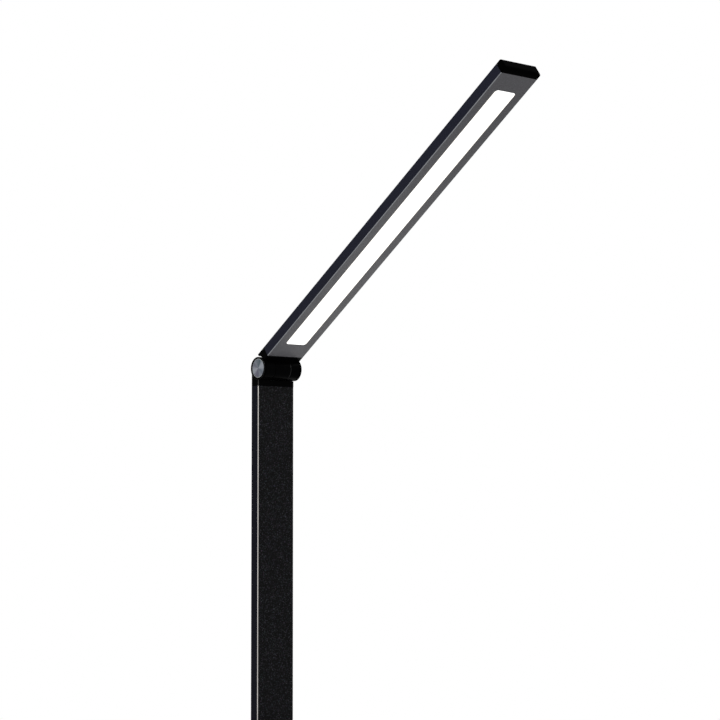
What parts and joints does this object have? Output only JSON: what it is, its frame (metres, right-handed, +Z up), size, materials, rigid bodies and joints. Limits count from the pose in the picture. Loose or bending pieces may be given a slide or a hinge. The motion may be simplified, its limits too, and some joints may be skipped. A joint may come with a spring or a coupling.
{
  "type": "folding desk lamp",
  "caption": "Desk lamp with a flat arm and a flat lit head that fold on two friction hinges above a weighted, round-cornered base.",
  "frame": {"origin": "middle of the flat underside of the non-slip pad, on the surface the lamp stands on", "axes": "+Z up along the arm, -Y forwards where the head reaches, X along both hinge axes, +X to the right seen from the front's own side looking along +Y"},
  "size_m": [0.18, 0.3404, 0.6501],
  "materials": {
    "pad_silicone": "matt black silicone",
    "plated_steel": "zinc-plated steel",
    "ballast_iron": "as-cast iron",
    "cover_plastic": "black, fine moulded grain",
    "panel_gloss": "gloss black panel with printed touch marks",
    "circuit_board": "green solder mask",
    "inlet_plastic": "black moulded housing",
    "lead_sheath": "soft red sheath",
    "hinge_black": "gloss black lacquer on die-cast metal",
    "cap_gloss": "gloss black moulding",
    "spun_aluminium": "turned face with a bright bevelled rim",
    "arm_anodised": "black anodised, fine speckle, bright cut edge",
    "head_anodised": "dark grey anodised, satin",
    "black_screws": "black oxide",
    "diffuser_opal": "opal acrylic, lit",
    "guide_acrylic": "clear acrylic",
    "reflector_white": "white film",
    "foam": "open-cell foam",
    "led_strip_board": "white solder mask"
  },
  "bodies": {
    "base": {"non_slip_pad": "pad_silicone", "base_plate": "plated_steel", "ballast_plate": "ballast_iron", "base_cover": "cover_plastic", "cover_screws": "plated_steel", "touch_panel": "panel_gloss", "control_board": "circuit_board", "inlet_board": "circuit_board", "supply_inlet": "inlet_plastic", "base_lead": "lead_sheath", "hinge_bracket": "hinge_black", "bracket_screws": "plated_steel", "riser_lead": "lead_sheath", "lower_axle": "plated_steel", "lower_axle_nut": "plated_steel", "lower_disc_spring": "plated_steel", "lower_friction_washers": "plated_steel", "lower_left_cap": "cap_gloss", "lower_right_cap": "cap_gloss", "lower_left_disc": "spun_aluminium", "lower_right_disc": "spun_aluminium"},
    "arm": {"arm_tube": "arm_anodised", "arm_lower_end": "hinge_black", "arm_upper_fork": "hinge_black", "arm_screws": "black_screws", "arm_lead": "lead_sheath", "upper_axle": "plated_steel", "upper_axle_nut": "plated_steel", "upper_disc_spring": "plated_steel", "upper_friction_washers": "plated_steel", "upper_left_cap": "cap_gloss", "upper_right_cap": "cap_gloss", "upper_left_disc": "spun_aluminium", "upper_right_disc": "spun_aluminium"},
    "head": {"head_tube": "head_anodised", "head_end": "hinge_black", "tip_cap": "cap_gloss", "diffuser": "diffuser_opal", "light_guide": "guide_acrylic", "reflector_sheet": "reflector_white", "pressure_foam": "foam", "left_led_strip": "led_strip_board", "right_led_strip": "led_strip_board", "head_lead": "lead_sheath"}
  },
  "joints": [
    {"name": "arm_tilt", "type": "hinge", "parent": "base", "child": "arm", "pos_m": [0, 0.039, 0.034], "axis": [1, 0, 0], "range_deg": [-30, 90]},
    {"name": "head_tilt", "type": "hinge", "parent": "arm", "child": "head", "pos_m": [0, 0.039, 0.4274], "axis": [1, 0, 0], "range_deg": [-55, 125]}
  ]
}
